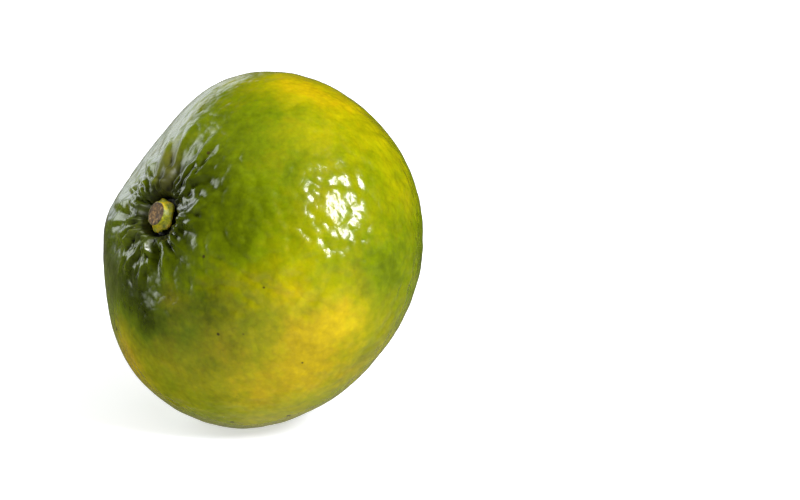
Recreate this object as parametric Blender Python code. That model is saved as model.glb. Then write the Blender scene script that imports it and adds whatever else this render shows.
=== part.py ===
"""A green mandarin as picked, lying on its side on a small flat spot.

Two pieces: the fruit, and the button of calyx and cut stem that sits in its stem basin.
Metres, +Z up. The origin is on the flat spot, straight below the middle of the fruit.
The stem axis lies in the YZ plane: the stem end looks towards -Y and rises by STEM_RISE.
Colatitude is counted from the stem end, and longitude round the stem axis from the
uppermost meridian towards -X.
"""

import math
import random

import bmesh
import bpy
import numpy as np

MM = 0.001
SEED = 7

# The body is an oblate spheroid round the stem axis.
EQUATOR_RADIUS = 31.0 * MM
POLE_RADIUS = 25.4 * MM
STEM_RISE = math.radians(24)
REST_HEIGHT = 29.7 * MM  # the middle of the fruit above the flat spot

# Swells and hollows that make the body this one fruit:
# colatitude, longitude and spread in degrees, then height in millimetres.
SWELLS = (
    (43, 60, 17, -1.6),  # flat shoulder beside the stem end
    (53, 38, 18, -0.55),
    (39, 101, 18, 0.75),  # full shoulder next to it
    (47, 132, 20, -0.2),
    (66, 22, 18, 1.05),  # high cheek
    (83, 6, 22, 1.0),
    (122, -30, 20, 0.55),
    (136, -54, 22, 0.4),
    (85, -80, 28, 0.35),  # cheek towards +X
    (68, 161, 26, 1.1),  # low cheek
    (95, -175, 24, 0.6),
    (119, -153, 20, -0.55),
    (136, -124, 20, -0.95),  # flat lower back
    (126, 178, 16, 1.9),  # the cheek that it lies on
    (104, 92, 28, -0.45),
    (150, 60, 22, 0.4),
)

# The stem end: a wide saucer, a steep little basin in it, and a collar round the basin,
# all a little off the body's own axis.
STEM_OFF_UPWARD = 0.5 * MM
STEM_OFF_SIDEWAYS = -0.6 * MM
SAUCER_DEPTH = 0.6 * MM
SAUCER_RADIUS = 10.0 * MM
BASIN_DEPTH = 2.2 * MM
BASIN_FLOOR_RADIUS = 3.4 * MM
BASIN_RIM_RADIUS = 5.2 * MM
COLLAR_HEIGHT = 0.35 * MM
COLLAR_RADIUS = 5.9 * MM
COLLAR_WIDTH = 1.5 * MM

# Folds that gather the skin towards the stem. For each: the longitude in degrees and the
# distance from the stem in millimetres where it starts and where it ends, then its
# height and its half width in millimetres. The first is a hollow, the others are ridges.
FOLDS = (
    (-8, 4.4, 29, 17.5, -0.75, 1.6),  # smooth valley that runs up from the stem
    (12, 5.0, 41, 19.0, 0.50, 1.0),  # its wall
    (40, 5.2, 60, 18.0, 0.38, 0.9),
    (57, 4.8, 79, 14.0, 0.34, 0.8),
    (85, 5.0, 95, 13.5, 0.40, 0.9),
    (114, 4.7, 118, 13.5, 0.46, 0.8),
    (141, 4.6, 130, 12.0, 0.40, 0.7),
    (176, 4.6, 146, 15.0, 0.56, 0.75),
    (-168, 4.6, 172, 16.5, 0.62, 0.9),
    (-133, 5.4, -155, 15.0, 0.58, 0.8),
    (-116, 5.6, -118, 11.5, 0.46, 0.9),
    (-97, 5.6, -79, 12.5, 0.50, 0.8),
    (-84, 5.4, -53, 14.5, 0.56, 0.8),
    (-46, 5.4, -33, 16.5, 0.62, 0.85),
    (-42, 7.5, -7, 15.5, 0.40, 0.65),
    (-40, 9.5, -18, 18.0, 0.32, 0.65),
)

# Narrow furrows between them, drawn from a seeded sequence.
FURROWS = 30
FURROW_DEPTH = 0.42 * MM
FURROW_START = 3.6 * MM
FURROW_LENGTH = 8.0 * MM
FURROW_WIDTH = 0.24 * MM
FURROW_WIDENING = 0.03

# The blossom end: a shallow dimple with the style scar in the middle.
DIMPLE_DEPTH = 0.9 * MM
DIMPLE_RADIUS = 7.0 * MM

# The button: a five-lobed calyx and the stub of the stem cut off above it.
CALYX_RADIUS = 2.9 * MM
STUB_RADIUS = 2.0 * MM
BUTTON_GAP = 0.3 * MM
BUTTON_HEIGHT = 2.3 * MM
CALYX_LOBES = 5
LOBE_SWING = 0.08
LOBES_AT = math.radians(30)
CUT_FACE_DISH = 0.25 * MM

FRUIT_SEGMENTS = 120
FRUIT_RINGS = 44
RING_CROWDING = 1.4  # rings lie closer together towards the stem end
BUTTON_SEGMENTS = 40
BUTTON_RINGS = 16

STEM = np.array((0.0, -math.cos(STEM_RISE), math.sin(STEM_RISE)))
UPWARD = np.array((0.0, math.sin(STEM_RISE), math.cos(STEM_RISE)))
SIDEWAYS = np.cross(STEM, UPWARD)
CENTRE = np.array((0.0, 0.0, REST_HEIGHT))


def bell(distance, width):
    """1 at no distance, falling to 1/e at width."""
    return np.exp(-((distance / width) ** 2))


def ease(start, end, value):
    """0 up to start, 1 from end on, and smooth in between."""
    share = np.clip((value - start) / (end - start), 0.0, 1.0)
    return share * share * (3.0 - 2.0 * share)


def turn(angle):
    """The angle brought to between minus and plus half a turn."""
    return (angle + math.pi) % (2.0 * math.pi) - math.pi


def direction(colatitude, longitude):
    """Unit vectors in the fruit's own axes: upward, sideways, stem."""
    around = np.sin(colatitude)
    return np.stack(
        (around * np.cos(longitude), around * np.sin(longitude), np.cos(colatitude)),
        axis=-1,
    )


def body_radius(colatitude, longitude):
    """Distance of the smooth body from its middle: the spheroid and its swells."""
    radius = 1.0 / np.hypot(
        np.sin(colatitude) / EQUATOR_RADIUS, np.cos(colatitude) / POLE_RADIUS
    )
    towards = direction(colatitude, longitude)
    for swell_colatitude, swell_longitude, spread, height in SWELLS:
        middle = direction(math.radians(swell_colatitude), math.radians(swell_longitude))
        away = np.arccos(np.clip(towards @ middle, -1.0, 1.0))
        radius = radius + height * MM * bell(away, math.radians(spread))
    return radius


def fold_height(from_stem, longitude):
    """Height of the placed folds at a distance from the stem."""
    total = np.zeros_like(from_stem)
    for start_longitude, start, end_longitude, end, height, width in FOLDS:
        along = (from_stem / MM - start) / (end - start)
        swing = turn(math.radians(end_longitude - start_longitude))
        path = math.radians(start_longitude) + swing * np.clip(along, -0.2, 1.2)
        across = from_stem / MM * turn(longitude - path)
        fade = ease(start - 1.0, start + 0.8, from_stem / MM) * (1.0 - ease(0.4, 1.0, along))
        total = total + height * MM * fade * bell(across, width)
    return total


def furrow_height(from_stem, longitude):
    """Depth of the seeded furrows, below zero, at a distance from the stem."""
    draw = random.Random(SEED)
    total = np.zeros_like(from_stem)
    for index in range(FURROWS):
        start_longitude = (index + draw.uniform(-0.35, 0.35)) * 2.0 * math.pi / FURROWS
        bend = draw.uniform(-0.2, 0.2)
        length = FURROW_LENGTH * draw.uniform(0.5, 1.4)
        depth = FURROW_DEPTH * draw.uniform(0.5, 1.15)
        along = (from_stem - FURROW_START) / length
        across = from_stem * turn(longitude - start_longitude - bend * along)
        width = FURROW_WIDTH + FURROW_WIDENING * from_stem
        fade = ease(FURROW_START, FURROW_START + 1.4 * MM, from_stem)
        fade = fade * (1.0 - ease(0.25, 1.0, along))
        total = total - depth * fade * bell(across, width)
    return total


def stem_end_sink(from_stem):
    """How far the skin is pushed along the stem axis, at a distance from the stem."""
    saucer = -SAUCER_DEPTH * bell(from_stem, SAUCER_RADIUS)
    basin = -BASIN_DEPTH * (1.0 - ease(BASIN_FLOOR_RADIUS, BASIN_RIM_RADIUS, from_stem))
    collar = COLLAR_HEIGHT * bell(from_stem - COLLAR_RADIUS, COLLAR_WIDTH)
    return saucer + basin + collar


def to_world(from_axis, longitude, along_stem):
    """Points from their distance off the body's axis, longitude and place along it."""
    upward_part = (from_axis * np.cos(longitude))[:, None] * UPWARD
    sideways_part = (from_axis * np.sin(longitude))[:, None] * SIDEWAYS
    return CENTRE + upward_part + sideways_part + along_stem[:, None] * STEM


def round_the_stem(from_axis, longitude):
    """Distance from the stem and longitude round it, of points given round the body's axis."""
    upward = from_axis * np.cos(longitude) - STEM_OFF_UPWARD
    sideways = from_axis * np.sin(longitude) - STEM_OFF_SIDEWAYS
    return np.hypot(upward, sideways), np.arctan2(sideways, upward)


def fruit_points(colatitude, longitude):
    """The skin: the body with its folds and furrows raised along the radius, both ends
    sunk along the stem axis, and what would reach below the flat spot pressed flat."""
    radius = body_radius(colatitude, longitude)
    stem_half = np.cos(colatitude) > 0.0
    from_stem, round_stem = round_the_stem(radius * np.sin(colatitude), longitude)
    relief = fold_height(from_stem, round_stem) + furrow_height(from_stem, round_stem)
    radius = radius + np.where(stem_half, relief, 0.0)
    from_axis = radius * np.sin(colatitude)
    sink = np.where(
        stem_half, stem_end_sink(from_stem), DIMPLE_DEPTH * bell(from_axis, DIMPLE_RADIUS)
    )
    points = to_world(from_axis, longitude, radius * np.cos(colatitude) + sink)
    points[:, 2] = np.maximum(points[:, 2], 0.0)
    return points


def button_profile():
    """The button's outline, top to bottom, as shares of its height and its radius."""
    stub = STUB_RADIUS / CALYX_RADIUS
    return (
        (1.00, 0.00),
        (1.00, 0.28 * stub),
        (1.00, 0.60 * stub),
        (0.99, 0.86 * stub),
        (0.94, 0.97 * stub),
        (0.82, 1.00 * stub),
        (0.66, 1.06 * stub),
        (0.54, 1.18 * stub),
        (0.46, 0.93),
        (0.36, 1.00),
        (0.24, 1.00),
        (0.13, 0.94),
        (0.05, 0.84),
        (0.00, 0.68),
        (0.00, 0.42),
        (0.00, 0.18),
        (0.00, 0.00),
    )


def button_points(colatitude, longitude):
    """The button on its own axis, base at zero: its outline turned round, with a lobed
    calyx and a dished cut face."""
    heights, radii = np.array(button_profile()).T
    ring = colatitude / math.pi * (len(radii) - 1)
    steps = np.arange(len(radii))
    share = np.interp(ring, steps, heights)
    lobed = LOBE_SWING * ease(0.0, 0.3, 0.6 - share)
    lobes = 1.0 + lobed * np.cos(CALYX_LOBES * (longitude - LOBES_AT))
    from_axis = CALYX_RADIUS * np.interp(ring, steps, radii) * lobes
    dish = CUT_FACE_DISH * bell(from_axis, 0.6 * STUB_RADIUS) * (share > 0.9)
    return np.stack(
        (
            from_axis * np.cos(longitude),
            from_axis * np.sin(longitude),
            share * BUTTON_HEIGHT - dish,
        ),
        axis=-1,
    )


def make_material(name, colour, roughness):
    material = bpy.data.materials.new(name)
    material.use_nodes = True
    shader = material.node_tree.nodes["Principled BSDF"]
    shader.inputs["Base Color"].default_value = (*colour, 1.0)
    shader.inputs["Roughness"].default_value = roughness
    shader.inputs["Metallic"].default_value = 0.0
    return material


def make_shaped_sphere(name, segments, rings, crowding, points_of, material):
    """A closed UV sphere whose points are moved to where points_of puts them."""
    sphere = bmesh.new()
    bmesh.ops.create_uvsphere(sphere, u_segments=segments, v_segments=rings, radius=1.0)
    unit = np.array([vertex.co for vertex in sphere.verts])
    colatitude = np.arccos(np.clip(unit[:, 2], -1.0, 1.0))
    colatitude = math.pi * (colatitude / math.pi) ** crowding
    longitude = np.arctan2(unit[:, 1], unit[:, 0])
    for vertex, point in zip(sphere.verts, points_of(colatitude, longitude)):
        vertex.co = point
    mesh = bpy.data.meshes.new(name)
    sphere.to_mesh(mesh)
    sphere.free()
    mesh.shade_smooth()
    mesh.materials.append(material)
    return bpy.data.objects.new(name, mesh)


def main():
    for old in list(bpy.data.objects):
        bpy.data.objects.remove(old)
    collection = bpy.data.collections.new("green_mandarin")
    bpy.context.scene.collection.children.link(collection)
    peel = make_material("peel", (0.30, 0.34, 0.01), 0.35)
    calyx = make_material("calyx", (0.22, 0.19, 0.04), 0.6)
    fruit = make_shaped_sphere(
        "fruit", FRUIT_SEGMENTS, FRUIT_RINGS, RING_CROWDING, fruit_points, peel
    )
    button = make_shaped_sphere(
        "calyx_button", BUTTON_SEGMENTS, BUTTON_RINGS, 1.0, button_points, calyx
    )
    basin_floor = POLE_RADIUS - SAUCER_DEPTH - BASIN_DEPTH
    stem_foot = CENTRE + STEM_OFF_UPWARD * UPWARD + STEM_OFF_SIDEWAYS * SIDEWAYS
    button.location = stem_foot + (basin_floor + BUTTON_GAP) * STEM
    button.rotation_euler = (math.radians(90.0) - STEM_RISE, 0.0, 0.0)
    collection.objects.link(fruit)
    collection.objects.link(button)


main()
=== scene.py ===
"""Looks of the green mandarin: its waxy, gland-dimpled peel and the cut stem button.

Lengths are in metres unless a name or a comment says millimetres. Colatitude is counted
from the stem end of the body, and longitude round its axis from the uppermost meridian
towards -X, as in the solids that these surfaces stand for.
"""

import itertools
import math
import random

import bpy
import numpy as np
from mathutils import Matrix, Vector

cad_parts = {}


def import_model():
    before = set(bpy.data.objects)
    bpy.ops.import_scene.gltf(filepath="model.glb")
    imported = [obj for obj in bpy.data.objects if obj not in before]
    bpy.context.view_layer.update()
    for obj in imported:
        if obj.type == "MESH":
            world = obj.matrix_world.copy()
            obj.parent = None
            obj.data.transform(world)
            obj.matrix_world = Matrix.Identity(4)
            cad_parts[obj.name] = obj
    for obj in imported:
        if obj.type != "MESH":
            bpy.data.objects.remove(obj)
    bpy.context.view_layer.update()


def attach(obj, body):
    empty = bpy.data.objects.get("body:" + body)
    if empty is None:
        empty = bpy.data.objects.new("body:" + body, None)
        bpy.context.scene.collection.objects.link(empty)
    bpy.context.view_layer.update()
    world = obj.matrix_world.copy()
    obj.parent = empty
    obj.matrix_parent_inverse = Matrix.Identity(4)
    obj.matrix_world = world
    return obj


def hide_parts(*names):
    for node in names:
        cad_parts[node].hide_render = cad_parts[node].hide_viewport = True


MM = 0.001

# Form of the solids, repeated so that the fine surfaces lie where they do. A swell has
# colatitude, longitude and spread in degrees, and height in millimetres. A fold has the
# longitude round the stem and the distance from it where it starts, the same where it
# ends, its height and its width, in degrees and millimetres.
SEED = 7
EQUATOR_RADIUS = 31.0 * MM
POLE_RADIUS = 25.4 * MM
STEM_RISE = math.radians(24)
REST_HEIGHT = 29.7 * MM
SWELLS = (
    (43, 60, 17, -1.6),
    (53, 38, 18, -0.55),
    (39, 101, 18, 0.75),
    (47, 132, 20, -0.2),
    (66, 22, 18, 1.05),
    (83, 6, 22, 1.0),
    (122, -30, 20, 0.55),
    (136, -54, 22, 0.4),
    (85, -80, 28, 0.35),
    (68, 161, 26, 1.1),
    (95, -175, 24, 0.6),
    (119, -153, 20, -0.55),
    (136, -124, 20, -0.95),
    (126, 178, 16, 1.9),
    (104, 92, 28, -0.45),
    (150, 60, 22, 0.4),
)
STEM_OFF_UPWARD = 0.5 * MM
STEM_OFF_SIDEWAYS = -0.6 * MM
SAUCER_DEPTH = 0.6 * MM
SAUCER_RADIUS = 10.0 * MM
BASIN_DEPTH = 2.2 * MM
COLLAR_HEIGHT = 0.35 * MM
COLLAR_RADIUS = 5.9 * MM
COLLAR_WIDTH = 1.5 * MM
FOLDS = (
    (-8, 4.4, 29, 17.5, -0.75, 1.6),
    (12, 5.0, 41, 19.0, 0.50, 1.0),
    (40, 5.2, 60, 18.0, 0.38, 0.9),
    (57, 4.8, 79, 14.0, 0.34, 0.8),
    (85, 5.0, 95, 13.5, 0.40, 0.9),
    (114, 4.7, 118, 13.5, 0.46, 0.8),
    (141, 4.6, 130, 12.0, 0.40, 0.7),
    (176, 4.6, 146, 15.0, 0.56, 0.75),
    (-168, 4.6, 172, 16.5, 0.62, 0.9),
    (-133, 5.4, -155, 15.0, 0.58, 0.8),
    (-116, 5.6, -118, 11.5, 0.46, 0.9),
    (-97, 5.6, -79, 12.5, 0.50, 0.8),
    (-84, 5.4, -53, 14.5, 0.56, 0.8),
    (-46, 5.4, -33, 16.5, 0.62, 0.85),
    (-42, 7.5, -7, 15.5, 0.40, 0.65),
    (-40, 9.5, -18, 18.0, 0.32, 0.65),
)
FURROWS = 30
FURROW_DEPTH = 0.42 * MM
FURROW_START = 3.6 * MM
FURROW_LENGTH = 8.0 * MM
FURROW_WIDTH = 0.24 * MM
FURROW_WIDENING = 0.03
DIMPLE_DEPTH = 0.9 * MM
DIMPLE_RADIUS = 7.0 * MM
CALYX_RADIUS = 2.9 * MM
STUB_RADIUS = 2.0 * MM
BUTTON_GAP = 0.3 * MM
BUTTON_HEIGHT = 2.3 * MM
CALYX_LOBES = 5
LOBE_SWING = 0.08
LOBES_AT = math.radians(30)
CUT_FACE_DISH = 0.25 * MM

STEM = np.array((0.0, -math.cos(STEM_RISE), math.sin(STEM_RISE)))
UPWARD = np.array((0.0, math.sin(STEM_RISE), math.cos(STEM_RISE)))
SIDEWAYS = np.cross(STEM, UPWARD)
CENTRE = np.array((0.0, 0.0, REST_HEIGHT))

# What is shown otherwise than in the solids: fuller folds that wander a little, a shallower
# valley and furrows, a narrower basin, and a funnel at its side. The solids have no scar.
FOLD_FULLNESS = 1.5
FOLD_BREADTH = 1.4
VALLEY_SHARE = 0.3
FURROW_SHARE = 0.15
FINE_WANDER = 0.45
FINE_WANDER_SIZE = 2.6
BROAD_WANDER = 0.5
BROAD_WANDER_SIZE = 6.0
BASIN_FLOOR_RADIUS = 3.1 * MM
BASIN_RIM_RADIUS = 4.5 * MM
FUNNEL_DEPTH = 0.95 * MM
FUNNEL_RADIUS = 9.5 * MM
FUNNEL_SIDE = math.radians(-85)
SCAR_DEPTH = 0.3 * MM
SCAR_RADIUS = 1.9 * MM
NUB_RADIUS = 1.0 * MM
NUB_SHARE = 1.5

# Noise of the skin lies on a ball of this radius, so that its sizes are in millimetres.
BALL = 30.0

# Crinkles round the stem: heights in millimetres, sizes in a frame that grows with distance,
# and the shares of their reach where they begin to fade and where the near ones are gone.
CRINKLES = 3.8
CRINKLE_CROWDING = 2.4
CRINKLE_BEND = 0.4
CRINKLE_BEND_SIZE = 1.8
RIDGE_HEIGHT = 0.46
RIDGE_SIZE = 0.70
RIDGE_DRAWN_OUT = np.array((1.0, 1.0, 0.45))
KNOB_HEIGHT = 0.45
KNOB_SIZE = 0.85
KNOB_SOFTNESS = 0.12
SMALL_KNOB_HEIGHT = 0.05
SMALL_KNOB_SIZE = 0.34
KNOB_LIFT = 0.12
LUMP_HEIGHT = 0.30
LUMP_SIZE_MM = 1.7
LUMPS_FULL_MM = 5.5
LUMPS_GONE_MM = 11.0
CRINKLES_START_MM = 2.9
CRINKLES_FULL_MM = 4.4
FADE_FROM = 0.45
NEAR_ONES_GONE = 0.95

# How far the crinkles reach, and how strong the near ones are: a middle value, how much it
# swings round the stem, and the longitude of its greatest value.
REACH_MM = 18.0
REACH_SWING_MM = 5.5
REACH_SIDE = math.radians(50)
DEEP = 1.45
DEEP_SWING = 0.40
DEEP_SIDE = math.radians(120)

# Unevenness of the skin, in millimetres: broad dents, and low domes, highest in the waves.
DENT_HEIGHT = 0.14
DENT_SIZE = 11.0
SMALL_DENT_HEIGHT = 0.08
SMALL_DENT_SIZE = 5.0
WAVY_MIDDLE = np.array((0.15, -0.92, 0.36))
WAVY_SPREAD = math.radians(45)
DOME_SIZE = 2.0
DOME_SOFTNESS = 0.10
DOME_STRETCH = 1.3
DOME_GRAIN = np.array((-0.44, -0.58, -0.68))
DOME_BEND = 0.7
DOME_BEND_SIZE = 5.0
DOME_HEIGHT = 0.12
DOME_HEIGHT_IN_WAVES = 0.62
DOME_HEIGHT_CHANGE = 0.10
DOME_CHANGE_SIZE = 6.0
DOME_LIFT = 0.08
DOMES_START = 3.0 * MM
DOMES_FULL = 6.0 * MM

# Grids of the two surfaces.
PEEL_SEGMENTS = 400
PEEL_RINGS = 246
PEEL_CROWDING = 1.5
BUTTON_SEGMENTS = 120
BUTTON_RINGS = 96

# Camera: a long lens, low over the table, with the fruit left of the middle.
CAMERA_AZIMUTH = math.radians(51.2)
CAMERA_ELEVATION = math.radians(15)
CAMERA_DISTANCE = 0.49
CAMERA_LENS_MM = 124.0
CAMERA_SENSOR_MM = 36.0
CAMERA_NEAREST = 0.01
AIM_RIGHT_OF_FRUIT = 24.6 * MM
AIM_HEIGHT = 29.95 * MM

# Lamps: direction from the fruit as the camera's right, up and back, then distance, width,
# height, power and colour. The extra blue of the key keeps its gloss white on the skin,
# whose own gloss takes a fifth of the blue away.
KEY_TOWARDS = (0.60, 0.51, 0.61)
KEY = (0.90, 0.22, 0.42, 9.6, (1.0, 0.99, 1.25))
SOFT_KEY = (0.92, 0.22, 0.42, 4.4, (1.0, 0.99, 0.98))
FILL_TOWARDS = (0.0, 0.97, 0.26)
FILL = (1.2, 1.6, 1.6, 7.0, (1.0, 1.0, 1.0))

# Table: how far it reaches, how far it lies under the flat spot, and its own glow, which
# turns to full white between two distances from the fruit.
FLOOR_REACH = 3.0
FLOOR_GAP = 0.1 * MM
FLOOR_GLOW = 0.60
FLOOR_WHITER_FROM = 0.35
FLOOR_WHITE_FROM = 1.6

# Room: each glow has a direction like a lamp's, the angles in degrees beyond which it is
# gone and within which it is full, and its strength. The windows are the main one on the
# left, a smaller one behind and a low one at the side.
WINDOWS = (
    ((-0.86, 0.43, -0.26), 28.0, 3.0, 1.0),
    ((-0.40, 0.42, -0.81), 21.0, 5.0, 0.34),
    ((-0.97, 0.10, -0.04), 16.0, 2.0, 0.60),
)
WINDOW_LIGHT = 4.8
TABLE_GLOW = ((0.25, -0.65, -0.72), 44.0, 16.0, 0.4)
BACKDROP_GLOW = ((-0.35, 0.10, -0.93), 40.0, 12.0, 0.15)
ROOM_LIGHT = 0.01
WINDOW_TINT = (0.95, 1.0, 1.10)
ROOM_TINT = (1.0, 0.96, 0.60)
WHITE = (1.0, 1.0, 1.0)


def bell(distance, width):
    """1 at no distance, falling to 1/e at width."""
    return np.exp(-((distance / width) ** 2))


def ease(start, end, value):
    """0 up to start, 1 from end on, and smooth in between."""
    share = np.clip((value - start) / (end - start), 0.0, 1.0)
    return share * share * (3.0 - 2.0 * share)


def turn(angle):
    """The angle brought to between minus and plus half a turn."""
    return (angle + math.pi) % (2.0 * math.pi) - math.pi


def direction(colatitude, longitude):
    """Unit vectors in the body's own axes: upward, sideways, stem."""
    around = np.sin(colatitude)
    return np.stack(
        (around * np.cos(longitude), around * np.sin(longitude), np.cos(colatitude)),
        axis=-1,
    )


def angle_from(towards, middle):
    """Angles, in radians, between unit vectors and one of them."""
    return np.arccos(np.clip(towards @ middle, -1.0, 1.0))


def angle_from_place(towards, colatitude, longitude):
    """Angles, in radians, between unit vectors and a place given in degrees."""
    return angle_from(towards, direction(math.radians(colatitude), math.radians(longitude)))


def body_radius(colatitude, longitude):
    """Distance of the smooth body from its middle: an oblate spheroid and its swells."""
    radius = 1.0 / np.hypot(
        np.sin(colatitude) / EQUATOR_RADIUS, np.cos(colatitude) / POLE_RADIUS
    )
    towards = direction(colatitude, longitude)
    for swell_colatitude, swell_longitude, spread, height in SWELLS:
        away = angle_from_place(towards, swell_colatitude, swell_longitude)
        radius = radius + height * MM * bell(away, math.radians(spread))
    return radius


def fold_height(from_stem, longitude):
    """Placed folds: each is a bell across a path whose longitude turns with distance. The
    raised ones are a little fuller here than in the solids, and the valley shallower."""
    total = np.zeros_like(from_stem)
    for start_longitude, start, end_longitude, end, height, width in FOLDS:
        along = (from_stem / MM - start) / (end - start)
        swing = turn(math.radians(end_longitude - start_longitude))
        path = math.radians(start_longitude) + swing * np.clip(along, -0.2, 1.2)
        across = from_stem / MM * turn(longitude - path)
        fade = ease(start - 1.0, start + 0.8, from_stem / MM) * (1.0 - ease(0.4, 1.0, along))
        if height > 0.0:
            height, width = FOLD_FULLNESS * height, FOLD_BREADTH * width
        else:
            height = VALLEY_SHARE * height
        total = total + height * MM * fade * bell(across, width)
    return total


def furrow_height(from_stem, longitude):
    """Seeded furrows, below zero: narrow bells that fade with distance from the stem."""
    draw = random.Random(SEED)
    total = np.zeros_like(from_stem)
    for index in range(FURROWS):
        start_longitude = (index + draw.uniform(-0.35, 0.35)) * 2.0 * math.pi / FURROWS
        bend = draw.uniform(-0.2, 0.2)
        length = FURROW_LENGTH * draw.uniform(0.5, 1.4)
        depth = FURROW_DEPTH * draw.uniform(0.5, 1.15)
        along = (from_stem - FURROW_START) / length
        across = from_stem * turn(longitude - start_longitude - bend * along)
        width = FURROW_WIDTH + FURROW_WIDENING * from_stem
        fade = ease(FURROW_START, FURROW_START + 1.4 * MM, from_stem)
        fade = fade * (1.0 - ease(0.25, 1.0, along))
        total = total - depth * fade * bell(across, width)
    return total


def stem_end_sink(from_stem, longitude):
    """How far the skin is pushed along the stem axis: a bell for the saucer, an eased step
    for the basin, a ring for the collar, and an eased slope on one side for the funnel."""
    saucer = -SAUCER_DEPTH * bell(from_stem, SAUCER_RADIUS)
    basin = -BASIN_DEPTH * (1.0 - ease(BASIN_FLOOR_RADIUS, BASIN_RIM_RADIUS, from_stem))
    beside = ease(-0.4, 1.0, np.cos(longitude - FUNNEL_SIDE))
    beside = beside * ease(BASIN_FLOOR_RADIUS, BASIN_RIM_RADIUS, from_stem)
    funnel = -FUNNEL_DEPTH * beside * (1.0 - ease(BASIN_FLOOR_RADIUS, FUNNEL_RADIUS, from_stem))
    collar = COLLAR_HEIGHT * bell(from_stem - COLLAR_RADIUS, COLLAR_WIDTH)
    return saucer + basin + collar + funnel


def blossom_end_sink(from_axis):
    """How far the far end is pushed in along the axis: a wide bell for the dimple, a small
    one for the scar, less a smaller one still for the nub in it."""
    dimple = DIMPLE_DEPTH * bell(from_axis, DIMPLE_RADIUS)
    scar = bell(from_axis, SCAR_RADIUS) - NUB_SHARE * bell(from_axis, NUB_RADIUS)
    return dimple + SCAR_DEPTH * scar


def to_world(from_axis, longitude, along_stem):
    """Points from their distance off the body's axis, longitude and place along it."""
    upward_part = (from_axis * np.cos(longitude))[:, None] * UPWARD
    sideways_part = (from_axis * np.sin(longitude))[:, None] * SIDEWAYS
    return CENTRE + upward_part + sideways_part + along_stem[:, None] * STEM


def round_the_stem(from_axis, longitude):
    """Distance from the stem and longitude round it, of points given round the body."""
    upward = from_axis * np.cos(longitude) - STEM_OFF_UPWARD
    sideways = from_axis * np.sin(longitude) - STEM_OFF_SIDEWAYS
    return np.hypot(upward, sideways), np.arctan2(sideways, upward)


def cell_number(cells, seed):
    """A repeatable number from 0 to 1 for every whole-numbered cell, by integer mixing."""
    mixed = cells[..., 0] * 73856093 ^ cells[..., 1] * 19349663 ^ cells[..., 2] * 83492791
    mixed = (mixed + seed * 2654435761) & 0xFFFFFFFF
    for shift in (13, 15, 16):
        mixed = (mixed ^ (mixed >> shift)) * 1540483477 & 0xFFFFFFFF
    return mixed / 4294967296.0


def humps(points, size, seed):
    """Smooth noise from about -1 to 1: a random slope at each corner of a cubic lattice
    of that size, eased from corner to corner."""
    at = points / size
    cell = np.floor(at).astype(np.int64)
    part = at - cell
    eased = part * part * part * (part * (part * 6.0 - 15.0) + 10.0)
    total = np.zeros(len(points))
    for corner in itertools.product((0, 1), repeat=3):
        weight = np.prod(np.where(corner, eased, 1.0 - eased), axis=-1)
        for axis in range(3):
            slope = 2.0 * cell_number(cell + np.array(corner), 3 * seed + axis) - 1.0
            total = total + weight * slope * (part[:, axis] - corner[axis])
    return 1.6 * total


def drift(points, size, seeds):
    """A smooth random vector for every point: one noise for each of its three parts."""
    return np.stack([humps(points, size, seed) for seed in seeds], axis=-1)


def domes(points, size, softness, seed):
    """Low domes crowded side by side: minus the squared distance to the nearest of spots
    strewn one to a cell, with the creases between neighbours softened."""
    at = points / size
    cell = np.floor(at).astype(np.int64)
    nearness = np.zeros(len(points))
    for step in itertools.product((-1, 0, 1), repeat=3):
        corner = cell + np.array(step)
        spot = np.stack([cell_number(corner, 3 * seed + axis) for axis in range(3)], axis=-1)
        away = ((corner + spot - at) ** 2).sum(axis=-1)
        nearness = nearness + np.exp(-away / softness)
    return softness * np.log(nearness)


def crinkle_height(from_stem, longitude):
    """Crinkles round the stem, on a frame that grows with distance so that they lengthen
    outwards: soft ridges, knobs of two sizes that fade a little sooner, and lumps next to
    the button. Their reach and depth swing round the stem as cosines of the longitude."""
    rho = np.maximum(from_stem / MM, 1.0)
    frame = np.stack(
        (
            CRINKLES * np.cos(longitude),
            CRINKLES * np.sin(longitude),
            CRINKLE_CROWDING * np.log(rho),
        ),
        axis=-1,
    )
    frame = frame + CRINKLE_BEND * drift(frame, CRINKLE_BEND_SIZE, (11, 12, 13))
    ridges = RIDGE_HEIGHT * humps(frame * RIDGE_DRAWN_OUT, RIDGE_SIZE, 14)
    knobs = KNOB_HEIGHT * domes(frame, KNOB_SIZE, KNOB_SOFTNESS, 15)
    knobs = knobs + SMALL_KNOB_HEIGHT * humps(frame, SMALL_KNOB_SIZE, 18)
    flat = np.stack((rho * np.cos(longitude), rho * np.sin(longitude), 0.0 * rho), axis=-1)
    lumps = LUMP_HEIGHT * humps(flat, LUMP_SIZE_MM, 19)
    lumps = lumps * (1.0 - ease(LUMPS_FULL_MM, LUMPS_GONE_MM, rho))
    reach = REACH_MM + REACH_SWING_MM * np.cos(longitude - REACH_SIDE)
    deep = DEEP + DEEP_SWING * np.cos(longitude - DEEP_SIDE)
    start = ease(CRINKLES_START_MM, CRINKLES_FULL_MM, rho)
    far = start * (1.0 - ease(FADE_FROM * reach, reach, rho))
    near = deep * start * (1.0 - ease(FADE_FROM * reach, NEAR_ONES_GONE * reach, rho))
    return (far * ridges + near * (ridges + knobs + lumps + KNOB_LIFT)) * MM


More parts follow.
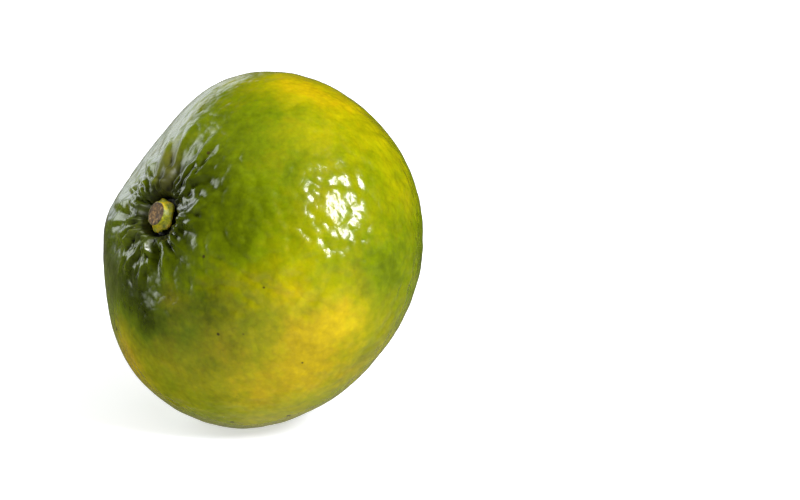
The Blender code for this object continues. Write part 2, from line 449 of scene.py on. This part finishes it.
def peel_relief(towards, from_stem):
    """Soft unevenness of the skin, in metres: broad dents, and low domes, longer one way
    than the other, that break up its shine."""
    at = towards * BALL
    bent = at + DOME_BEND * drift(at, DOME_BEND_SIZE, (25, 26, 27))
    bent = bent - (1.0 - 1.0 / DOME_STRETCH) * (bent @ DOME_GRAIN)[:, None] * DOME_GRAIN
    broad = DENT_HEIGHT * humps(at, DENT_SIZE, 21)
    broad = broad + SMALL_DENT_HEIGHT * humps(at, SMALL_DENT_SIZE, 22)
    wavy = bell(angle_from(towards, WAVY_MIDDLE), WAVY_SPREAD)
    high = DOME_HEIGHT + DOME_HEIGHT_IN_WAVES * wavy
    high = high + DOME_HEIGHT_CHANGE * humps(at, DOME_CHANGE_SIZE, 28)
    low_domes = high * domes(bent, DOME_SIZE, DOME_SOFTNESS, 23)
    beyond_basin = ease(DOMES_START, DOMES_FULL, from_stem)
    return (broad + (low_domes + DOME_LIFT) * beyond_basin) * MM


def peel_points(colatitude, longitude):
    """The skin: body, folds, furrows, crinkles and unevenness raised along the radius,
    both ends sunk along the axis, and what would reach below the flat spot pressed flat."""
    radius = body_radius(colatitude, longitude)
    stem_half = np.cos(colatitude) > 0.0
    from_stem, round_stem = round_the_stem(radius * np.sin(colatitude), longitude)
    towards = direction(colatitude, longitude)
    fine_wander = FINE_WANDER * humps(towards * BALL, FINE_WANDER_SIZE, 16)
    wander = fine_wander + BROAD_WANDER * humps(towards * BALL, BROAD_WANDER_SIZE, 17)
    wandered = round_stem + wander / np.maximum(from_stem / MM, 3.0)
    gathers = fold_height(from_stem, wandered)
    gathers = gathers + FURROW_SHARE * furrow_height(from_stem, wandered)
    gathers = gathers + crinkle_height(from_stem, round_stem)
    distance = np.where(stem_half, from_stem, 1.0)
    relief = peel_relief(towards, distance)
    radius = radius + np.where(stem_half, gathers, 0.0) + relief
    from_axis = radius * np.sin(colatitude)
    sink = np.where(
        stem_half,
        stem_end_sink(from_stem, round_stem),
        blossom_end_sink(from_axis),
    )
    points = to_world(from_axis, longitude, radius * np.cos(colatitude) + sink)
    points[:, 2] = np.maximum(points[:, 2], 0.0)
    return points


def polar_grid(rings, segments, crowding):
    """Colatitude and longitude of both poles and of every point on the rings between
    them, with the rings closer together near the first pole."""
    steps = math.pi * (np.arange(1, rings) / rings) ** crowding
    colatitude = np.repeat(steps, segments)
    longitude = np.tile(np.arange(segments) * 2.0 * math.pi / segments, rings - 1)
    return (
        np.concatenate(((0.0,), colatitude, (math.pi,))),
        np.concatenate(((0.0,), longitude, (0.0,))),
    )


def closed_surface(name, points, rings, segments):
    """A mesh of the points on a polar grid: quads between rings, fans at the poles."""
    last = len(points) - 1
    here = np.arange(segments)
    beside = (here + 1) % segments
    starts = 1 + segments * np.arange(rings - 2)[:, None]
    quads = np.stack(
        (
            starts + here,
            starts + segments + here,
            starts + segments + beside,
            starts + beside,
        ),
        axis=-1,
    ).reshape(-1, 4)
    low = last - segments
    first_fan = np.stack((np.zeros(segments, int), 1 + here, 1 + beside), axis=-1)
    last_fan = np.stack((low + here, np.full(segments, last), low + beside), axis=-1)
    mesh = bpy.data.meshes.new(name)
    faces = quads.tolist() + first_fan.tolist() + last_fan.tolist()
    mesh.from_pydata(points.tolist(), [], faces)
    mesh.shade_smooth()
    piece = bpy.data.objects.new(name, mesh)
    bpy.context.scene.collection.objects.link(piece)
    return piece


def hollow_depth(points, rings, segments, steps):
    """How far each point lies below the middle of its four neighbours so many steps away
    on the grid, along its own outward direction, in millimetres; 0 at both poles."""
    grid = points[1:-1].reshape(rings - 1, segments, 3)
    above = grid[np.maximum(np.arange(rings - 1) - steps, 0)]
    below = grid[np.minimum(np.arange(rings - 1) + steps, rings - 2)]
    left = np.roll(grid, steps, axis=1)
    right = np.roll(grid, -steps, axis=1)
    outward = np.cross(below - above, right - left)
    outward = outward / (np.linalg.norm(outward, axis=-1, keepdims=True) + 1e-12)
    middle = (above + below + left + right) / 4.0
    depth = ((middle - grid) * outward).sum(axis=-1) / MM
    return np.concatenate(((0.0,), depth.ravel(), (0.0,)))


def keep_amount(piece, name, values):
    """Stores one number a vertex, for the piece's material to read."""
    attribute = piece.data.attributes.new(name, "FLOAT", "POINT")
    attribute.data.foreach_set("value", np.asarray(values, np.float32))


class Amount:
    """A socket's number or colour, with arithmetic for numbers."""

    def __init__(self, nodes, socket):
        self.nodes = nodes
        self.socket = socket

    def __add__(self, other):
        return self.nodes.sum_up("ADD", self, other)

    def __sub__(self, other):
        return self.nodes.sum_up("SUBTRACT", self, other)

    def __rsub__(self, other):
        return self.nodes.sum_up("SUBTRACT", other, self)

    def __mul__(self, other):
        return self.nodes.sum_up("MULTIPLY", self, other)

    __radd__ = __add__
    __rmul__ = __mul__


class Nodes:
    """A node tree that is being made up, such as a material's."""

    def __init__(self, owner):
        self.owner = owner
        self.owner.use_nodes = True
        self.tree = self.owner.node_tree

    def node(self, kind, settings, sockets, output=0):
        """Adds a node, sets it, feeds its sockets, and gives the output that is asked."""
        made = self.tree.nodes.new(kind)
        for name, value in settings.items():
            if name == "stops":
                self.place_stops(made.color_ramp, value)
            else:
                setattr(made, name, value)
        for key, value in sockets.items():
            self.feed(made.inputs[key], value)
        return Amount(self, made.outputs[output])

    def place_stops(self, ramp, stops):
        """Gives a colour ramp its places and colours."""
        while len(ramp.elements) < len(stops):
            ramp.elements.new(0.5)
        for element, (place, colour) in zip(ramp.elements, stops):
            element.position = place
            element.color = (*colour, 1.0)

    def feed(self, socket, value):
        """Links an amount to the socket, or sets a plain value on it."""
        if isinstance(value, Amount):
            self.tree.links.new(value.socket, socket)
        else:
            socket.default_value = value

    def sum_up(self, operation, first, second):
        return self.node("ShaderNodeMath", {"operation": operation}, {0: first, 1: second})

    def between(self, value, low, high):
        """0 up to low, 1 from high on, and smooth in between."""
        return self.node(
            "ShaderNodeMapRange",
            {"interpolation_type": "SMOOTHSTEP"},
            {"Value": value, "From Min": low, "From Max": high},
        )

    def amount(self, name):
        """The number that the piece keeps for every vertex under that name."""
        return self.node(
            "ShaderNodeAttribute", {"attribute_name": name}, {}, output="Fac"
        )

    def place(self):
        """Where the surface is, in metres, in the piece's own frame."""
        return self.node("ShaderNodeTexCoord", {}, {}, output="Object")

    def noise(self, place, size, detail, roughness=0.5):
        """Cloudy noise from 0 to 1 whose patches are about size across, in metres."""
        return self.node(
            "ShaderNodeTexNoise",
            {},
            {"Vector": place, "Scale": 1.0 / size, "Detail": detail, "Roughness": roughness},
        )

    def spots(self, place, size, smooth=0.0, output="Distance"):
        """Distance to the nearest of spots strewn about size apart, in sizes."""
        settings = {"feature": "SMOOTH_F1" if smooth else "F1"}
        sockets = {"Vector": place, "Scale": 1.0 / size}
        if smooth:
            sockets["Smoothness"] = smooth
        return self.node("ShaderNodeTexVoronoi", settings, sockets, output=output)

    def blend(self, share, first, second):
        """The first colour turning into the second as share goes from 0 to 1."""
        return self.node(
            "ShaderNodeMix",
            {"data_type": "RGBA"},
            {0: share, 6: self.colour(first), 7: self.colour(second)},
            output=2,
        )

    def dimmed(self, colour, share):
        """The colour times the share."""
        return self.node(
            "ShaderNodeVectorMath",
            {"operation": "SCALE"},
            {0: colour, "Scale": share},
        )

    def colour(self, value):
        """A colour as a node takes it, with its fourth number."""
        return value if isinstance(value, Amount) else (*value, 1.0)

    def raised(self, height, depth, below=None):
        """Bump whose full height is depth, in metres, on top of the bump below."""
        sockets = {"Height": height, "Distance": depth}
        if below is not None:
            sockets["Normal"] = below
        return self.node("ShaderNodeBump", {}, sockets)


class Finish(Nodes):
    """A material on a Principled shader."""

    def __init__(self, name):
        super().__init__(bpy.data.materials.new(name))
        self.shader = self.tree.nodes["Principled BSDF"]

    def vary(self, socket_name, value):
        """Feeds a socket of the shader with what changes over the surface."""
        self.feed(self.shader.inputs[socket_name], value)

    def keep(self, socket_name, value):
        """Sets a socket of the shader to what is the same all over."""
        self.shader.inputs[socket_name].default_value = value


# Ripe and unripe places of the peel: colatitude, longitude and spread in degrees, then
# how much riper, and how much darker, the skin is there.
PATCHES = (
    (14, -60, 22, -0.35, 0.20),
    (34, -150, 14, -0.15, 0.30),
    (36, 150, 14, -0.35, 0.15),
    (28, 176, 9, -0.20, 0.25),
    (40, 110, 16, -0.35, 0.00),
    (50, -20, 18, -0.15, -0.10),
    (42, -86, 11, -0.20, 0.00),
    (30, -40, 14, -0.10, 0.00),
    (48, -60, 12, -0.05, -0.15),
    (72, -8, 14, 0.40, -0.30),
    (80, -20, 14, 0.25, -0.05),
    (92, -34, 18, 0.10, -0.15),
    (100, -50, 14, 0.10, -0.10),
    (63, -80, 14, 0.05, -0.15),
    (66, -38, 14, 0.10, -0.30),
    (76, -64, 14, 0.05, -0.15),
    (54, -106, 11, 0.20, 0.00),
    (64, -100, 9, 0.15, -0.05),
    (70, -90, 9, 0.05, -0.20),
    (86, -100, 10, 0.35, -0.20),
    (78, -114, 11, 0.50, 0.05),
    (98, -80, 11, -0.20, -0.05),
    (92, -124, 12, 0.20, 0.05),
    (108, -115, 14, 0.15, 0.20),
    (57, -135, 9, 0.15, 0.20),
    (46, -122, 9, 0.00, 0.30),
    (62, -156, 10, 0.20, 0.05),
    (50, -165, 9, 0.15, 0.20),
    (40, -172, 8, -0.35, 0.18),
    (36, -143, 6, 0.30, 0.10),
    (45, 160, 6, 0.25, 0.00),
    (122, -74, 12, -0.20, 0.05),
    (57, 163, 10, 0.50, 0.10),
    (68, 170, 12, 0.30, 0.20),
    (74, -140, 11, 0.25, 0.00),
    (80, -128, 12, 0.15, -0.05),
    (84, -128, 24, 0.10, -0.03),
    (88, -150, 14, 0.15, 0.05),
    (70, 60, 26, -0.10, 0.10),
    (110, 25, 22, 0.25, 0.00),
    (118, 120, 26, 0.20, 0.00),
    (140, -20, 20, -0.15, 0.00),
    (160, 150, 24, 0.15, 0.00),
)
RIPENESS = 0.5


def peel_amounts(colatitude, longitude):
    """Ripeness and darkness of the skin: soft patches added up, edges stirred by noise."""
    towards = direction(colatitude, longitude)
    stirred = towards + 0.05 * drift(towards * BALL, 7.0, (31, 32, 33))
    stirred = stirred / np.linalg.norm(stirred, axis=-1, keepdims=True)
    ripe = np.full(len(towards), RIPENESS)
    dark = np.zeros(len(towards))
    for patch_colatitude, patch_longitude, spread, riper, darker in PATCHES:
        away = angle_from_place(stirred, patch_colatitude, patch_longitude)
        share = bell(away, math.radians(spread))
        ripe = ripe + riper * share
        dark = dark + darker * share
    return ripe, dark


# Dry, brownish skin: a strip above the button, and the scar at the blossom end:
# colatitude, longitude, spread.
DRY_PATCHES = ((14, 4, 5), (19, 8, 6), (25, 13, 5), (180, 0, 3))


def dryness(towards):
    """1 on the dry places, falling to 0 round them."""
    wet = np.ones(len(towards))
    for patch_colatitude, patch_longitude, spread in DRY_PATCHES:
        away = angle_from_place(towards, patch_colatitude, patch_longitude)
        wet = wet * (1.0 - bell(away, math.radians(spread)))
    return 1.0 - wet


# Peel: colours from unripe to ripe, sizes in metres of what varies, and depths of the bump.
PEEL_COLOURS = (
    (0.0, (0.030, 0.042, 0.0005)),
    (0.2, (0.060, 0.084, 0.0005)),
    (0.4, (0.110, 0.150, 0.0005)),
    (0.6, (0.170, 0.184, 0.0005)),
    (0.8, (0.250, 0.228, 0.0005)),
    (1.0, (0.345, 0.255, 0.0010)),
)
DRY_COLOUR = (0.115, 0.085, 0.004)
SPECK_COLOUR = (0.040, 0.032, 0.006)
CLOUD_SIZE = 8.0 * MM
DARK_MOTTLE_SIZE = 4.2 * MM
MOTTLE_SIZE = 2.6 * MM
GRAIN_SIZE = 0.9 * MM
FINE_SIZE = 0.45 * MM
GLAND_SPACING = 1.15 * MM
SPECK_SPACING = 6.0 * MM
GLAND_BUMP = 0.08 * MM
FINE_BUMP = 0.004 * MM
PEEL_ROUGHNESS = 0.21
DULLER = 0.32


def peel_finish():
    """Waxy citrus skin: mottled green to yellow, with painted shade in its hollows and
    painted light on its crests, oil glands, a fine grain and a few brown specks."""
    finish = Finish("citrus peel")
    place = finish.place()
    cloud = finish.noise(place, CLOUD_SIZE, 4.0, 0.6) - 0.5
    mottle = finish.noise(place, MOTTLE_SIZE, 4.0, 0.65) - 0.5
    # Darker tone of the skin that differs at random.
    dark_mottle = finish.noise(place, DARK_MOTTLE_SIZE, 5.0, 0.7) - 0.5
    grain = finish.noise(place, GRAIN_SIZE, 3.0, 0.6) - 0.5
    gland = finish.spots(place, GLAND_SPACING, smooth=0.35)
    pit = finish.between(gland, 0.20, 0.60)
    hollow = finish.amount("hollow")
    ripe = finish.amount("ripe") + cloud * 0.5 + mottle * 0.5 + grain * 0.15
    skin = finish.node("ShaderNodeValToRGB", {"stops": PEEL_COLOURS}, {0: ripe})
    dark = finish.amount("dark") + dark_mottle * 0.9 + grain * 0.55 + pit * 0.08 - 0.05
    # Painted shade in the creases and painted light on the crests, from how deep each point
    # lies.
    dark = dark + finish.between(hollow, 0.0, 0.10) * 0.45
    dark = dark - finish.between(hollow * -1, 0.0, 0.08) * 0.12
    dry = finish.amount("dry")
    skin = finish.blend(dry * (0.45 + cloud), skin, DRY_COLOUR)
    skin = finish.dimmed(skin, 1 - dark)
    draw = finish.spots(place, SPECK_SPACING, output="Color")
    speck = finish.spots(place, SPECK_SPACING) - draw * 0.075 + grain * 0.05
    skin = finish.blend(finish.between(speck, 0.0, 0.03), SPECK_COLOUR, skin)
    finish.vary("Base Color", skin)
    dull = finish.amount("dull")
    finish.vary("Roughness", PEEL_ROUGHNESS + grain * 0.12 + dull * DULLER)
    bump = finish.raised(finish.noise(place, FINE_SIZE, 2.0), FINE_BUMP)
    finish.vary("Normal", finish.raised(1 - gland * gland, GLAND_BUMP, bump))
    finish.keep("Specular IOR Level", 0.5)
    finish.keep("Specular Tint", (1.0, 1.0, 0.8, 1.0))
    return finish.owner


# Stem button: colours of its flank and of the cut wood, and sizes of what varies.
FLANK_COLOURS = (
    (0.0, (0.100, 0.140, 0.003)),
    (0.35, (0.300, 0.300, 0.004)),
    (0.65, (0.500, 0.380, 0.006)),
    (1.0, (0.400, 0.160, 0.008)),
)
WOOD_COLOURS = (
    (0.0, (0.028, 0.016, 0.005)),
    (0.4, (0.110, 0.060, 0.012)),
    (0.75, (0.250, 0.135, 0.030)),
    (1.0, (0.480, 0.310, 0.110)),
)
FLANK_PATCH_SIZE = 1.6 * MM
WOOD_STREAK_SIZE = 0.7 * MM
WOOD_GRAIN_SIZE = 0.35 * MM
WOOD_BUMP = 0.10 * MM


def button_profile():
    """The button's outline, top to bottom, as shares of its height and its radius."""
    stub = STUB_RADIUS / CALYX_RADIUS
    return (
        (1.00, 0.00),
        (1.00, 0.28 * stub),
        (1.00, 0.60 * stub),
        (0.99, 0.92 * stub),
        (0.94, 1.05 * stub),
        (0.82, 1.09 * stub),
        (0.66, 1.13 * stub),
        (0.54, 1.21 * stub),
        (0.46, 0.93),
        (0.36, 1.00),
        (0.24, 1.00),
        (0.13, 0.94),
        (0.05, 0.84),
        (0.00, 0.68),
        (0.00, 0.42),
        (0.00, 0.18),
        (0.00, 0.00),
    )


def button_points(colatitude, longitude):
    """The button: its outline turned round the stem, with a lobed calyx, a dished cut
    face and an uneven, lumpy skin."""
    heights, radii = np.array(button_profile()).T
    ring = colatitude / math.pi * (len(radii) - 1)
    steps = np.arange(len(radii))
    share = np.interp(ring, steps, heights)
    lobed = LOBE_SWING * ease(0.0, 0.3, 0.6 - share)
    lobes = 1.0 + lobed * np.cos(CALYX_LOBES * (longitude - LOBES_AT))
    from_stem = CALYX_RADIUS * np.interp(ring, steps, radii) * lobes
    dish = CUT_FACE_DISH * bell(from_stem, 0.6 * STUB_RADIUS) * (share > 0.9)
    floor = POLE_RADIUS - SAUCER_DEPTH - BASIN_DEPTH + BUTTON_GAP
    along = floor + share * BUTTON_HEIGHT - dish
    round_it = np.stack(
        (from_stem * np.cos(longitude), from_stem * np.sin(longitude), along), axis=-1
    )
    lump = 0.10 * humps(round_it, 1.1 * MM, 41) + 0.05 * humps(round_it, 0.45 * MM, 42)
    lump = lump * MM * ease(0.0, 0.15, share)
    from_stem = from_stem + lump * ease(0.3, 0.8, from_stem / STUB_RADIUS)
    along = along + lump * ease(0.85, 0.98, share)
    upward = from_stem * np.cos(longitude) + STEM_OFF_UPWARD
    sideways = from_stem * np.sin(longitude) + STEM_OFF_SIDEWAYS
    points = to_world(np.hypot(upward, sideways), np.arctan2(sideways, upward), along)
    return points, share, from_stem


def button_finish():
    """Dry calyx and cut stem: mottled brown wood on the cut, a darker rind round it, and
    a flank that goes from green through yellow to rusty patches, with painted shade over
    its lower part, down in the basin."""
    finish = Finish("woody stem button")
    place = finish.place()
    patch = finish.noise(place, FLANK_PATCH_SIZE, 4.0, 0.6)
    grain = finish.noise(place, WOOD_GRAIN_SIZE, 4.0, 0.65)
    tone = finish.between(patch + grain * 0.4, 0.45, 0.95)
    flank = finish.node("ShaderNodeValToRGB", {"stops": FLANK_COLOURS}, {0: tone})
    streak = finish.noise(place, WOOD_STREAK_SIZE, 5.0, 0.7)
    paler = finish.between(streak, 0.30, 0.72)
    wood = finish.node("ShaderNodeValToRGB", {"stops": WOOD_COLOURS}, {0: paler})
    cut = finish.between(finish.amount("cut") + streak - 0.5, 0.30, 0.70)
    mixed = finish.blend(cut, flank, wood)
    rind = 1 - finish.amount("rind") * 0.55
    # Painted shade: the lower part of the button, down in the basin, darkened.
    low = 1 - finish.amount("low") * 0.75
    finish.vary("Base Color", finish.dimmed(finish.dimmed(mixed, rind), low))
    finish.vary("Roughness", 0.40 + cut * 0.35)
    finish.vary("Normal", finish.raised(grain, WOOD_BUMP))
    return finish.owner


# Darker green round the stem, partly the skin's own and partly painted shade of the stem
# # hollow: degrees from the stem within which it is full and beyond which it is gone, and how
# # much darker. Likewise where the skin is dull, and where the painted shade of creases and
# # painted light of crests fade.
STEM_GREEN_AND_PAINTED_SHADE = ((11.0, 30.0, 0.38), (7.0, 13.0, 0.25))
DULL_WITHIN = (7.0, 15.0)
CREASE_SHADING_FADE = (25.0, 50.0, 0.8)
HOLLOW_STEPS = 2


def make_peel():
    """The peel, with the amounts that its finish reads, in place of the fruit's solid."""
    colatitude, longitude = polar_grid(PEEL_RINGS, PEEL_SEGMENTS, PEEL_CROWDING)
    points = peel_points(colatitude, longitude)
    peel = closed_surface("peel", points, PEEL_RINGS, PEEL_SEGMENTS)
    ripe, dark = peel_amounts(colatitude, longitude)
    dry = dryness(direction(colatitude, longitude))
    from_stem = np.degrees(colatitude)
    # Darker green round the stem: partly the skin's own, partly painted shade of the stem
    # hollow.
    for full, gone, darker in STEM_GREEN_AND_PAINTED_SHADE:
        dark = dark + darker * (1.0 - ease(full, gone, from_stem))
    fade_from, fade_to, faded = CREASE_SHADING_FADE
    depth = hollow_depth(points, PEEL_RINGS, PEEL_SEGMENTS, HOLLOW_STEPS)
    keep_amount(peel, "ripe", ripe)
    keep_amount(peel, "dark", dark)
    keep_amount(peel, "dry", dry)
    keep_amount(peel, "dull", np.maximum(dry, 1.0 - ease(*DULL_WITHIN, from_stem)))
    # Painted shade in the creases and painted light on the crests, fading away from the stem.
    keep_amount(peel, "hollow", depth * (1.0 - faded * ease(fade_from, fade_to, from_stem)))
    peel.data.materials.append(peel_finish())
    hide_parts("fruit")
    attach(peel, "root")


def make_button():
    """The stem button, with the amounts that its finish reads, in place of its solid."""
    colatitude, longitude = polar_grid(BUTTON_RINGS, BUTTON_SEGMENTS, 1.0)
    points, share, from_stem = button_points(colatitude, longitude)
    button = closed_surface("stem_button", points, BUTTON_RINGS, BUTTON_SEGMENTS)
    off = from_stem / STUB_RADIUS
    keep_amount(button, "cut", ease(0.84, 0.95, share) * (1.0 - ease(0.90, 1.12, off)))
    keep_amount(button, "rind", ease(0.90, 0.97, share) * ease(0.75, 0.95, off))
    # Painted shade over the lower part of the button, down in the basin.
    keep_amount(button, "low", 1.0 - ease(0.0, 0.45, share))
    button.data.materials.append(button_finish())
    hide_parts("calyx_button")
    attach(button, "root")


def camera_axes():
    """The camera's right, up and back directions."""
    right = np.array((math.cos(CAMERA_AZIMUTH), math.sin(CAMERA_AZIMUTH), 0.0))
    level = math.cos(CAMERA_ELEVATION)
    back = np.array(
        (
            math.sin(CAMERA_AZIMUTH) * level,
            -math.cos(CAMERA_AZIMUTH) * level,
            math.sin(CAMERA_ELEVATION),
        )
    )
    return right, np.cross(back, right), back


def turned_to(thing, place, target):
    """Puts a lamp or the camera at a place, looking at the target."""
    thing.location = place
    thing.rotation_euler = Vector(target - place).to_track_quat("-Z", "Y").to_euler()
    bpy.context.scene.collection.objects.link(thing)


def make_camera():
    """The camera of the photograph."""
    right, up, back = camera_axes()
    aim = np.array((0.0, 0.0, AIM_HEIGHT)) + AIM_RIGHT_OF_FRUIT * right
    data = bpy.data.cameras.new("camera")
    data.lens = CAMERA_LENS_MM
    data.sensor_width = CAMERA_SENSOR_MM
    data.clip_start = CAMERA_NEAREST
    camera = bpy.data.objects.new("camera", data)
    turned_to(camera, aim + CAMERA_DISTANCE * back, aim)
    bpy.context.scene.camera = camera


def make_softbox(name, towards, distance, width, height, power, colour):
    """A rectangular lamp; towards is its direction from the fruit as right, up, back."""
    right, up, back = camera_axes()
    sight = towards[0] * right + towards[1] * up + towards[2] * back
    sight = sight / np.linalg.norm(sight)
    data = bpy.data.lights.new(name, "AREA")
    data.shape = "RECTANGLE"
    data.size = width
    data.size_y = height
    data.energy = power
    data.color = colour
    lamp = bpy.data.objects.new(name, data)
    turned_to(lamp, CENTRE + distance * sight, CENTRE)
    return lamp


def make_lights():
    """The key lamp, its twin without gloss, and a wide fill overhead without gloss."""
    make_softbox("key", KEY_TOWARDS, *KEY)
    make_softbox("soft_key", KEY_TOWARDS, *SOFT_KEY).visible_glossy = False
    make_softbox("fill", FILL_TOWARDS, *FILL).visible_glossy = False


def make_floor():
    """A wide matt table just under the flat spot, with a glow of its own that grows far
    out, where the table meets the white of the room."""
    finish = Finish("pale studio floor")
    paper = finish.noise(finish.place(), 4.0 * MM, 3.0)
    finish.vary("Base Color", finish.blend(paper, (0.80, 0.80, 0.80), (0.84, 0.84, 0.84)))
    finish.keep("Roughness", 0.9)
    finish.keep("Specular IOR Level", 0.1)
    from_fruit = finish.node(
        "ShaderNodeVectorMath", {"operation": "LENGTH"}, {0: finish.place()}, "Value"
    )
    far_out = finish.between(from_fruit, FLOOR_WHITER_FROM, FLOOR_WHITE_FROM)
    near_glow = (FLOOR_GLOW, FLOOR_GLOW, FLOOR_GLOW)
    finish.vary("Emission Color", finish.blend(far_out, near_glow, WHITE))
    finish.keep("Emission Strength", 1.0)
    finish.owner.cycles.emission_sampling = "NONE"
    mesh = bpy.data.meshes.new("floor")
    reach = FLOOR_REACH
    corners = [(-reach, -reach), (reach, -reach), (reach, reach), (-reach, reach)]
    mesh.from_pydata([(x, y, -FLOOR_GAP) for x, y in corners], [], [(0, 1, 2, 3)])
    mesh.materials.append(finish.owner)
    floor = bpy.data.objects.new("floor", mesh)
    bpy.context.scene.collection.objects.link(floor)
    floor.visible_glossy = False


def glow(room, place, towards, rim, full, strength):
    """Light from round a direction, gone beyond the rim angle and full within another."""
    right, up, back = camera_axes()
    sight = towards[0] * right + towards[1] * up + towards[2] * back
    sight = sight / np.linalg.norm(sight)
    facing = room.node(
        "ShaderNodeVectorMath", {"operation": "DOT_PRODUCT"}, {0: place, 1: sight}, "Value"
    )
    low = math.cos(math.radians(rim))
    return strength * room.between(facing, low, math.cos(math.radians(full)))


def make_room():
    """The room round the table: white to the eye, and otherwise dark, with its windows, a
    paler backdrop and the glow of the table."""
    world = bpy.data.worlds.new("studio")
    bpy.context.scene.world = world
    room = Nodes(world)
    place = room.node("ShaderNodeTexCoord", {}, {}, "Generated")
    window = 0.0
    for each in WINDOWS:
        window = window + glow(room, place, *each)
    light = window * WINDOW_LIGHT
    light = light + glow(room, place, *TABLE_GLOW)
    light = light + glow(room, place, *BACKDROP_GLOW)
    light = light + ROOM_LIGHT
    by_eye = room.node("ShaderNodeLightPath", {}, {}, "Is Camera Ray")
    ground = room.tree.nodes["Background"]
    by_window = room.between(window, 0.0, 0.1)
    tint = room.blend(by_window, ROOM_TINT, WINDOW_TINT)
    room.feed(ground.inputs["Color"], room.blend(by_eye, tint, WHITE))
    room.feed(ground.inputs["Strength"], light + by_eye * (1 - light))


def main():
    """Loads the solids and dresses them, and sets up the camera, floor, room and lamps."""
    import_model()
    make_camera()
    make_peel()
    make_button()
    make_floor()
    make_room()
    make_lights()
    bpy.context.scene.view_settings.view_transform = "Standard"
    bpy.context.view_layer.update()


main()
